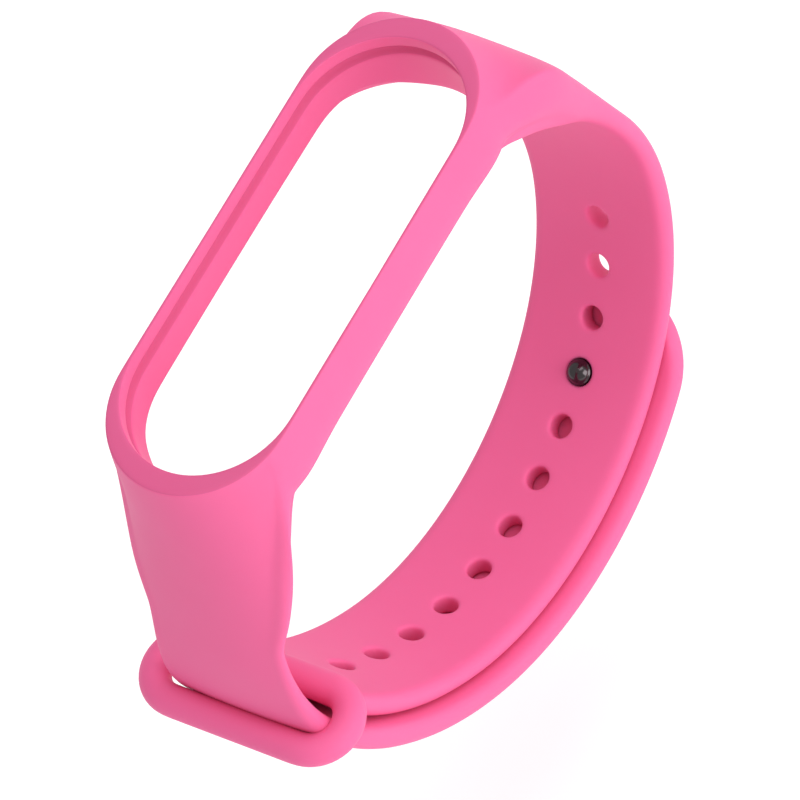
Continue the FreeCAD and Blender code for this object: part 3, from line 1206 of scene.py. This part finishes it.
@dataclass
class PiercedArm:
    """Arm with a row of round holes, which the stud presses into."""

    lane: Lane
    wrap: LoopWrap
    section: StrapSection = StrapSection(8.15, 2.4, 1.1, 0.95, 0.08)
    first_hole: float = 40.1
    pitch: float = 5.82
    holes: int = 12
    hole_r: float = 1.24
    round_over: float = 0.32
    stud_hole: int = 4
    stud_stretch: float = 0.2
    swell: float = 1.1              # how many times thicker it is before the first hole
    swell_fade: float = 11.0        # length over which that is lost
    patch: int = 8                  # faces on each side of the square round a hole

    def start(self) -> float:
        """Where the row of tiles starts."""
        return self.first_hole - self.pitch / 2

    def end(self) -> float:
        """Where the row of tiles ends."""
        return self.start() + self.holes * self.pitch

    @classmethod
    def stud_place(cls) -> float:
        """Length along the loop of the stud's hole."""
        return cls.first_hole + (cls.stud_hole - 1) * cls.pitch

    def _tile(self) -> bpy.types.Object:
        """One pitch of the arm, flat, with its hole.

        Returns:
            The tile, with an attribute that says how the stud's hole is stretched.
        """
        outline = self.section.outline()
        n = self.patch
        low = (FACE - n) // 2
        sketch = Sketch()
        columns = [[Vector((x, y, h)) for y, h in outline]
                   for x in spread(n, -self.pitch / 2, self.pitch / 2)]
        rows = [sketch.row(c) for c in columns]
        inner_first = FACE + EDGE + low
        skip = set(range(low, low + n)) | set(range(inner_first, inner_first + n))
        for first, second in zip(rows, rows[1:]):
            for k in range(len(outline)):
                m = (k + 1) % len(outline)
                if k not in skip:
                    sketch.faces.append((first[k], first[m], second[m], second[k]))
        pulls: dict[int, Vector] = {}
        walls = []
        for start, sign in ((low, 1), (inner_first, -1)):
            rim = ([rows[0][start + k] for k in range(n)]
                   + [rows[k][start + n] for k in range(n)]
                   + [rows[n][start + n - k] for k in range(n)]
                   + [rows[n - k][start] for k in range(n)])
            walls.append(self._hole_rings(sketch, rim, sign, pulls))
        outer, inner = walls
        lookup = {self._bearing(sketch.points[k]): k for k in inner}
        sketch.bridge(outer, [lookup[self._bearing(sketch.points[k])] for k in outer])
        used = sorted({i for f in sketch.faces for i in f})
        renumber = {old: new for new, old in enumerate(used)}
        mesh = bpy.data.meshes.new("hole_tile")
        mesh.from_pydata([sketch.points[i] * MM for i in used], [],
                         [tuple(renumber[i] for i in f) for f in sketch.faces])
        pull = mesh.attributes.new("hole_pull", "FLOAT_VECTOR", "POINT")
        for old, vector in pulls.items():
            pull.data[renumber[old]].vector = vector
        tile = bpy.data.objects.new("hole_tile", mesh)
        bpy.context.scene.collection.objects.link(tile)
        return tile

    def _bearing(self, point: Vector) -> int:
        """Direction from the hole's axis in whole steps, the same on both faces."""
        around = 4 * self.patch
        return round(math.atan2(point.y, point.x) / (2 * math.pi) * around) % around

    def _hole_rings(self, sketch: Sketch, rim: list[int], sign: int,
                    pulls: dict[int, Vector]) -> list[int]:
        """Rings from the square round a hole to the middle of its wall.

        Args:
            sketch: the tile's sketch.
            rim: the square's points.
            sign: 1 for the outer face, -1 for the inner face.
            pulls: filled with the direction in which each point moves in the stud's tile.

        Returns:
            The last ring.
        """
        r, soft = self.hole_r, self.round_over
        half = self.section.thickness / 2
        rings = [(r + soft * 2.4, 0.0, 0.6), (r + soft, 0.012, 0.9),
                 (r + soft * 0.3, soft * 0.35, 1.0), (r, soft, 1.0), (r, soft * 2.4, 1.0),
                 (r, half * 0.62, 1.0)]  # radius, depth, share of the stretch
        levels = [sketch.points[k].z for k in rim]
        corner = sketch.points[rim[0]]
        turn = math.atan2(corner.y, corner.x)
        following = sketch.points[rim[1]]
        step = math.atan2(following.y, following.x) - turn
        step = (step + math.pi) % (2 * math.pi) - math.pi
        hand = 1.0 if step > 0 else -1.0
        first = round(math.degrees(turn) / 45.0) * 45.0
        circle = [math.radians(first + hand * 360.0 * k / len(rim)) for k in range(len(rim))]
        outside = [sketch.points[k].copy() for k in rim]
        top = max(levels) if sign > 0 else min(levels)
        near = r + 0.5  # the first ring lies just past half-way from the square to this
        places = [([mix(o, Vector((math.cos(a) * near, math.sin(a) * near, o.z)), 0.55)
                    for o, a in zip(outside, circle)], 0.3)]
        for radius, depth, share in rings:
            places.append(([Vector((math.cos(a) * radius, math.sin(a) * radius,
                                    top - sign * depth)) for a in circle], share))
        previous = rim
        for points, share in places:
            ring = sketch.row(points)
            for index, a in zip(ring, circle):
                pulls[index] = Vector((math.cos(a), math.sin(a), 0)) * share
            sketch.bridge(previous, ring)
            previous = ring
        return previous

    def build(self, sketch: Sketch, material: bpy.types.Material) -> None:
        """Adds the row of tiles to a sketch.

        Args:
            sketch: the moulding's sketch.
            material: its finish.
        """
        mesh = self.wrap.lay(self._tile(), material, self.holes, self.pitch, self.first_hole,
                             self.stud_hole - 1, self.stud_stretch, self.swell,
                             (self.start(), self.start() + self.swell_fade))
        sketch.absorb(mesh)
        bpy.data.meshes.remove(mesh)


@dataclass
class Keeper:
    """Round bar bent to a flat loop at the end of the pierced arm; the tail goes through it."""

    loop: WristLoop
    s: float = 116.0
    bar_r: float = 1.65
    offsets: Pair = (0.85, 7.6)
    half: float = 10.85
    lean: float = 18.0
    tilt: float = 3.2               # its +Y end stands this many degrees further out
    shift: float = 0.7
    free_gap: float = 0.8           # length of its faces away from the arm
    around: int = 24

    def _centre_line(self) -> tuple[float, float, float]:
        """Half length of its straights, radius of its bends, and whole length."""
        r = (self.offsets[1] - self.offsets[0]) / 2
        y = self.half - r
        return y, r, 4 * y + 2 * math.pi * r

    def _frame(self) -> tuple[Vector, Vector, Vector, Vector]:
        """Place and directions of the keeper.

        Returns:
            The base point, and the directions to the outer bar, along the bars and square to both.
        """
        n, along = self.loop.outward(self.s), self.loop.onward(self.s)
        a = math.radians(self.lean)
        rise = n * math.cos(a) + along * math.sin(a)
        base = self.loop.station(self.s, self.offsets[0])[0] + ALONG * self.shift
        t = math.radians(self.tilt)
        wide = ALONG * math.cos(t) + rise * math.sin(t)
        rise = rise * math.cos(t) - ALONG * math.sin(t)
        return base, rise, wide, wide.cross(rise)

    def _section(self, length: float) -> Row:
        """Points round the bar at a length from the middle of the inner bar.

        Args:
            length: distance along the bar's centre line, towards +Y.

        Returns:
            The points, of which number 0 faces the pierced arm.
        """
        base, rise, wide, normal = self._frame()
        y, r, total = self._centre_line()
        length = (length + total / 2) % total - total / 2
        mirror = 1.0 if length >= 0 else -1.0
        d = abs(length)
        if d <= y:
            across, up, inward = d, 0.0, (0.0, 1.0)
        elif d <= y + math.pi * r:
            a = (d - y) / r
            across, up = y + r * math.sin(a), r - r * math.cos(a)
            inward = (-math.sin(a), math.cos(a))
        else:
            across, up, inward = y - (d - y - math.pi * r), 2 * r, (0.0, -1.0)
        centre = base + wide * across * mirror + rise * up
        inside = wide * inward[0] * mirror + rise * inward[1]
        start = -(90.0 + self.lean)
        points = []
        for k in range(self.around):
            a = math.radians(start + 360.0 * k / self.around)
            points.append(centre + (inside * math.cos(a) + normal * math.sin(a)) * self.bar_r)
        return points

    def build(self, sketch: Sketch) -> list[int]:
        """Adds the keeper to a sketch, open where the arm joins it.

        Args:
            sketch: the moulding's sketch.

        Returns:
            The opening's outline, in the order of StrapSection.outline.
        """
        total = self._centre_line()[2]
        joined = [ROW_GAP * (k - FACE // 2) - self.shift for k in range(FACE + 1)]
        rest = total - FACE * ROW_GAP
        count = round(rest / self.free_gap)
        free = [joined[-1] + rest * k / count for k in range(1, count)]
        rows = [sketch.row(self._section(length)) for length in joined + free]
        reach = EDGE // 2
        for index, (first, second) in enumerate(zip(rows, rows[1:] + rows[:1])):
            for k in range(self.around):
                m = (k + 1) % self.around
                open_side = k < reach or k >= self.around - reach
                if index < FACE and open_side:
                    continue
                sketch.faces.append((first[k], first[m], second[m], second[k]))
        seam = rows[:FACE + 1]
        top = [row[reach] for row in seam]
        plus = [seam[-1][k % self.around] for k in range(reach - 1, -reach, -1)]
        bottom = [row[-reach] for row in reversed(seam)]
        minus = [seam[0][k % self.around] for k in range(-reach + 1, reach)]
        return top + plus + bottom + minus


@dataclass
class StrapMoulding:
    """The silicone moulding that stays on the wrist side: frame, both arms and keeper."""

    loop: WristLoop
    wrap: LoopWrap
    silicone: bpy.types.Material
    course: PlainCourse
    pierced_t: float = 2.4
    pierced_run: int = 19           # rows between the shoulder and the first hole
    plain_run: int = 16             # rows between the shoulder and the keeper
    plain_end: float = 29.0         # the plain arm runs this far, to under the keeper
    socket_rows: tuple[float, ...] = (107.8, 108.6, 109.4, 110.2, 111.0, 111.8, 112.6, 113.3,
                                      113.9, 114.4, 114.8)  # rows before the keeper's inner bar

    def _pierced_shoulder(self, ring: TrackerFrame) -> Shoulder:
        """Shoulder on the pierced arm's side.

        Args:
            ring: the tracker frame that it grows from.

        Returns:
            The shoulder.
        """
        return Shoulder(
            Lane(self.loop, Side.PIERCED, 0.0, self.pierced_t), ring, 23.0,
            StrapSection(8.6, self.pierced_t + 0.25, 1.1, 0.9, 0.45),
            outer_edge=(
                (21.4, 9.2, 30.7), (24.9, 9.6, 29.5), (28.1, 9.75, 26.7), (30.1, 8.9, 21.2),
                (31.6, 8.3, 16.2), (33.0, 7.9, 11.2)),
            inner_edge=(
                (18.8, 9.12, 25.9), (20.5, 9.25, 24.6), (23.5, 9.15, 21.8), (26.6, 8.6, 17.8),
                (28.89, 8.05, 14.63), (30.9, 7.65, 10.4)),
            inner_middle=((26.1, 21.3), (27.5, 17.7), (28.9, 14.7), (30.9, 10.4)),
            swell=0.1)

    def _plain_shoulder(self, ring: TrackerFrame) -> Shoulder:
        """Shoulder on the plain arm's side.

        Args:
            ring: the tracker frame that it grows from.

        Returns:
            The shoulder.
        """
        return Shoulder(
            Lane(self.loop, Side.PLAIN, self.course.base + 0.22, self.course.thickness), ring,
            17.0, StrapSection(self.course.half, self.course.thickness, 1.2, 0.75, 1.0),
            outer_edge=(
                (20.2, 9.1, 30.8), (21.6, 8.95, 28.6), (23.3, 8.75, 25.7), (25.8, 8.35, 21.2),
                (28.0, 7.9, 16.7)),
            inner_edge=(
                (18.5, 9.1, 26.2), (20.1, 9.15, 25.1), (22.4, 8.9, 22.4), (25.2, 8.35, 18.1),
                (27.4, 7.7, 14.5)),
            inner_middle=((25.9, 21.5), (27.0, 18.2), (28.0, 14.9)),
            drift=self.course.drift)

    def build(self) -> bpy.types.Object:
        """Builds the moulding as one closed mesh.

        Returns:
            The finished object.
        """
        sketch = Sketch()
        ring = TrackerFrame()
        ring.build(sketch)
        self._build_pierced_arm(sketch, self._pierced_shoulder(ring))
        self._build_plain_arm(sketch, self._plain_shoulder(ring))
        return finished(sketch.make("strap_moulding"), self.silicone, 1, capped=True)

    def _build_pierced_arm(self, sketch: Sketch, shoulder: Shoulder) -> None:
        """Adds the pierced arm and the keeper.

        Args:
            sketch: the moulding's sketch.
            shoulder: the shoulder that the arm starts from.
        """
        arm = PiercedArm(shoulder.lane, self.wrap)
        rows = [shoulder.build(sketch)]
        for share in spread(self.pierced_run, 0.0, 1.0)[1:]:
            u = mix(shoulder.length, arm.start(), share)
            section = shoulder.section.towards(arm.section, ease(share))
            swell = mix(1.0, arm.swell, ease(share))
            outline = [(y, h * swell) for y, h in section.outline()]
            rows.append(sketch.row(shoulder.lane.row(u, outline)))
        sketch.tube(rows)
        arm.build(sketch, self.silicone)
        opening = Keeper(self.loop).build(sketch)
        rows = []
        for u in (arm.end(), *self.socket_rows):
            dip = -0.88 * max(0.0, (u - 111.0) / 4.2) ** 2.5  # runs down round the inner bar
            section = replace(arm.section, lift=dip,
                              thickness=arm.section.thickness - 0.16 * ease(u, 112.0, 115.2))
            rows.append(sketch.row(shoulder.lane.row(u, section.outline())))
        sketch.tube(rows + [opening])

    def _build_plain_arm(self, sketch: Sketch, shoulder: Shoulder) -> None:
        """Adds the plain arm as far as the keeper.

        Args:
            sketch: the moulding's sketch.
            shoulder: the shoulder that the arm starts from.
        """
        end = self.course.section(self.loop.length() - self.plain_end)
        lane = replace(shoulder.lane, base=self.course.base)
        rows = [shoulder.build(sketch)]
        for share in spread(self.plain_run, 0.0, 1.0)[1:]:
            u = mix(shoulder.length, self.plain_end, share)
            outline = shoulder.section.towards(end, ease(share)).outline()
            rows.append(sketch.row(lane.row(u, self.course.laid(lane.s(u), outline))))
        sketch.tube(rows)


# ---- tail ------------------------------------------------------------------------------------


@dataclass
class Tail:
    """Free end of the plain arm, which lies on the pierced arm and peels away from it."""

    loop: WristLoop
    wrap: LoopWrap
    silicone: bpy.types.Material
    course: PlainCourse
    seam: float = 116.0             # under the keeper
    tip: float = 49.0
    tip_r: float = 7.5
    tip_edge: float = 0.85          # radius of the tip's end face
    tip_rows: tuple[float, ...] = (0.95, 1.35, 1.8, 2.35, 3.0, 3.7, 4.5, 5.4, 6.4)
    hinges: tuple[float, float, float] = (93.56, 81.56, 69.56)
    reach: float = 5.9              # points this far to both sides of each hinge are worked out and not used

    def _joins(self) -> list[float]:
        """Lengths at which the pieces meet, from the keeper to the last one."""
        root, middle, last = self.hinges
        return [self.seam, (root + middle) / 2, (middle + last) / 2]

    def _row(self, s: float, section: StrapSection) -> Row:
        """Points of one row of a flat strip at length s."""
        return [Vector((s, y, self.course.base + h))
                for y, h in self.course.laid(s, section.outline())]

    def _strip(self, name: str, first: float, last: float) -> bpy.types.Object:
        """Makes a plain stretch of strap.

        Args:
            name: the piece's name.
            first: length along the loop of its start.
            last: length of its end.

        Returns:
            The piece.
        """
        sketch = Sketch()
        places = spread(round(abs(first - last) / ROW_GAP), first, last)
        sketch.tube([sketch.row(self._row(s, self.course.section(s))) for s in places])
        return self._laid(name, sketch)

    def _tip_strip(self, name: str, start: float) -> bpy.types.Object:
        """Makes the last stretch, with its rounded end.

        Args:
            name: the piece's name.
            start: length along the loop at which it starts.

        Returns:
            The piece.
        """
        sketch = Sketch()
        spots = []                  # distance from the tip, and what is taken off both faces
        for turn in (0.0, 25.0, 50.0, 75.0):
            a = math.radians(turn)
            spots.append((self.tip_edge * (1 - math.cos(a)), self.tip_edge * (1 - math.sin(a))))
        spots += [(x, 0.0) for x in self.tip_rows]
        last = self.tip_rows[-1]
        run = start - self.tip - last
        count = round(run / ROW_GAP)
        spots += [(last + run * k / count, 0.0) for k in range(1, count + 1)]
        rows = []
        for x, thin in spots:
            section = self.course.section(self.tip + x)
            flat = section.half - self.tip_r  # the tip's two corners are arcs
            bend = max(0.0, self.tip_r - x)
            half = flat + math.sqrt(max(0.0, self.tip_r ** 2 - bend ** 2))
            section = replace(section, half=max(half, flat) - thin * 0.3,
                              corner_y=min(section.corner_y, max(0.35, half * 0.2)),
                              thickness=section.thickness - thin, lift=thin,
                              crown=section.crown * (1 - thin))
            rows.append(sketch.row(self._row(self.tip + x, section)))
        sketch.cap(rows[0])
        sketch.tube(rows)
        return self._laid(name, sketch)

    def _laid(self, name: str, sketch: Sketch) -> bpy.types.Object:
        """Wraps a flat strip on the loop and finishes it.

        Args:
            name: the piece's name.
            sketch: the flat strip.

        Returns:
            The piece.
        """
        pattern = sketch.make("flat_" + name)
        laid = Sketch()
        mesh = self.wrap.lay(pattern, self.silicone)
        laid.absorb(mesh)
        bpy.data.meshes.remove(mesh)
        return finished(laid.make(name, 0.004), self.silicone, 1, capped=True)

    def build(self) -> list[bpy.types.Object]:
        """Builds the tail's three pieces.

        Returns:
            The pieces, from the keeper to the tip.
        """
        first, second, third = self._joins()
        bodies = [Body.STRAP, Body.TAIL_ROOT, Body.TAIL_MIDDLE, Body.TAIL_TIP]
        pieces = [self._strip("plain_arm_end", first, second),
                  self._strip("tail_middle_bend", second, third),
                  self._tip_strip("tail_tip_bend", third)]
        height = self.course.base + self.course.thickness / 2
        for number, (piece, hinge) in enumerate(zip(pieces, self.hinges)):
            start = self.loop.place(hinge + self.reach, 0.0, height)
            end = self.loop.place(hinge - self.reach, 0.0, height)
            bodies[number + 1].value
            start * MM
            end * MM
            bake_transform(piece)
        for piece, node in zip(pieces, ("tail_root", "tail_middle", "tail_tip")):
            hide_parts(node)
        return pieces


# ---- stud ------------------------------------------------------------------------------------


@dataclass
class Stud:
    """Turned metal stud: a domed head on the wrist side, a neck and a sunk outer cap."""

    loop: WristLoop
    s: float
    metal: bpy.types.Material
    head_r: float = 1.4
    head_h: float = 1.0
    neck_r: float = 0.9
    cap_r: float = 3.2
    cap_low: float = 4.65
    cap_t: float = 0.9
    sides: int = 64

    def _turned(self, name: str, profile: Sequence[Pair]) -> bpy.types.Object:
        """Turns a profile about the stud's axis.

        Args:
            name: the object's name.
            profile: radius and height pairs, from one end on the axis to the other.

        Returns:
            The finished object.
        """
        base, out = self.loop.station(self.s)[0], self.loop.outward(self.s)
        ahead = self.loop.onward(self.s)
        sketch = Sketch()
        ends = [sketch.point(base + out * profile[0][1]), sketch.point(base + out * profile[-1][1])]
        rows = []
        for r, h in profile[1:-1]:
            ring = []
            for k in range(self.sides):
                a = 2 * math.pi * k / self.sides
                ring.append(base + out * h + (ahead * math.cos(a) + ALONG * math.sin(a)) * r)
            rows.append(sketch.row(ring))
        sketch.tube(rows)
        for row, end in ((rows[0], ends[0]), (rows[-1], ends[1])):
            for k in range(self.sides):
                sketch.faces.append((row[k], row[(k + 1) % self.sides], end))
        return finished(sketch.make(name, 0.0005), self.metal, 0)

    def _head_profile(self) -> list[Pair]:
        """Outline of the pin.

        Returns:
            Radius and height of the dome, the rounded brim, the under-cut and the neck.
        """
        dome = []
        flat = self.head_r - 0.12
        ball = (flat ** 2 + (self.head_h - 0.1) ** 2) / (2 * (self.head_h - 0.1))
        sweep = math.asin(min(1.0, flat / ball))
        for k in range(13):
            a = sweep * k / 12
            dome.append((ball * math.sin(a), -self.head_h + ball * (1 - math.cos(a))))
        brim = [(self.head_r - 0.03, -0.06), (self.head_r, 0.06), (self.head_r, 0.3),
                (self.head_r - 0.08, 0.42), (self.neck_r + 0.05, 0.5), (self.neck_r, 0.62),
                (self.neck_r, self.cap_low - 0.05), (self.neck_r - 0.05, self.cap_low + 0.05),
                (0.0, self.cap_low + 0.05)]
        return dome + brim

    def _cap_profile(self) -> list[Pair]:
        """Outline of the cap.

        Returns:
            Radius and height of a flat disc with a rounded rim and a shallow dish.
        """
        low, top, r = self.cap_low, self.cap_low + self.cap_t, self.cap_r
        edge = 0.35
        profile = [(0.0, low), (r - 0.12, low), (r - 0.03, low + 0.04), (r, low + 0.14),
                   (r, top - edge)]
        for a in (22.5, 45.0, 67.5, 90.0):
            t = math.radians(a)
            profile.append((r - edge + edge * math.cos(t), top - edge + edge * math.sin(t)))
        profile += [(r - 0.55, top), (r - 0.68, top - 0.03), (r - 0.8, top - 0.11),
                    (r - 0.95, top - 0.14), (1.2, top - 0.12), (0.6, top - 0.11),
                    (0.0, top - 0.11)]
        return profile

    def build(self) -> list[bpy.types.Object]:
        """Builds both parts of the stud.

        Returns:
            The pin and the cap.
        """
        pin = self._turned("stud_pin_turned", self._head_profile())
        cap = self._turned("stud_cap_turned", self._cap_profile())
        for piece, node in ((pin, "stud_pin"), (cap, "stud_cap")):
            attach(piece, Body.TAIL_TIP.value)
            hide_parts(node)
        return [pin, cap]


# ---- studio ----------------------------------------------------------------------------------


@dataclass(frozen=True)
class Panel:
    """Square soft light that points at the strap, in metres and watts."""

    name: str
    place: tuple[float, float, float]
    size: float
    power: float

    def hang(self) -> None:
        """Makes the light."""
        data = bpy.data.lights.new(self.name, "AREA")
        data.size, data.energy = self.size, self.power
        made = bpy.data.objects.new(self.name, data)
        bpy.context.scene.collection.objects.link(made)
        made.location = self.place
        made.rotation_euler = (-Vector(self.place)).to_track_quat("-Z", "Y").to_euler()


@dataclass
class Studio:
    """Pale floor, soft light and the camera."""

    eye: tuple[float, float, float] = (-112.93, -216.55, 353.96)
    ahead: tuple[float, float, float] = (0.26442, 0.50751, -0.82007)
    upward: tuple[float, float, float] = (0.82887, 0.31511, 0.46226)
    lens: float = 199.8
    sensor: float = 36.0
    panels: tuple[Panel, ...] = (Panel("front_light", (0.1, -1.0, 0.35), 0.7, 5.2),
                                 Panel("top_light", (0.35, -0.2, 1.05), 0.8, 4.2))
    world_glow: float = 0.64
    drop: float = 0.034             # the floor lies this far below, clear of the peeled tail
    floor_half: float = 3.0

    def camera(self) -> None:
        """Makes the camera."""
        data = bpy.data.cameras.new("camera")
        data.lens, data.sensor_width = self.lens, self.sensor
        data.clip_start, data.clip_end = 0.01, 20.0
        made = bpy.data.objects.new("camera", data)
        bpy.context.scene.collection.objects.link(made)
        forward = Vector(self.ahead).normalized()
        right = forward.cross(Vector(self.upward)).normalized()
        up = right.cross(forward)
        matrix = made.matrix_world.copy()
        for column, axis in enumerate((right, up, -forward)):
            for line in range(3):
                matrix[line][column] = axis[line]
        matrix.translation = Vector(self.eye) * MM
        made.matrix_world = matrix
        bpy.context.scene.camera = made

    def light(self) -> None:
        """Makes the lights and the surroundings."""
        world = bpy.data.worlds.new("studio")
        bpy.context.scene.world = world
        world.use_nodes = True
        shade = world.node_tree.nodes["Background"]
        shade.inputs["Color"].default_value = (1.0, 1.0, 1.0, 1.0)
        shade.inputs["Strength"].default_value = self.world_glow
        for panel in self.panels:
            panel.hang()
        bpy.context.scene.view_settings.view_transform = "Standard"

    def floor(self) -> None:
        """Lays the floor under the strap."""
        low = CAD_BOX[0][2] - self.drop
        size = self.floor_half
        mesh = bpy.data.meshes.new("studio_floor")
        mesh.from_pydata([(-size, -size, low), (size, -size, low), (size, size, low),
                          (-size, size, low)], [], [(0, 1, 2, 3)])
        mesh.materials.append(FloorFinish().make())
        made = bpy.data.objects.new("studio_floor", mesh)
        bpy.context.scene.collection.objects.link(made)


def main() -> None:
    """Builds every piece in order and reports it."""
    logging.basicConfig(level=logging.INFO, format="%(message)s")
    studio = Studio()
    studio.camera()
    silicone = SiliconeFinish().make()
    metal = GunmetalFinish().make()
    loop = WristLoop()
    path = loop.path()
    wrap = LoopWrap(path)
    course = PlainCourse()
    moulding = StrapMoulding(loop, wrap, silicone, course).build()
    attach(moulding, Body.STRAP.value)
    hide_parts("capsule_frame", "holes_arm", "keeper_loop", "plain_arm")
    tail = Tail(loop, wrap, silicone, course).build()
    bpy.data.objects.remove(path)
    stud = Stud(loop, PiercedArm.stud_place(), metal).build()
    for piece in [moulding, *tail, *stud]:
        LOG.info("%s: %d faces", piece.name, len(piece.data.polygons))
    studio.floor()
    studio.light()


if __name__ == "__main__":
    main()
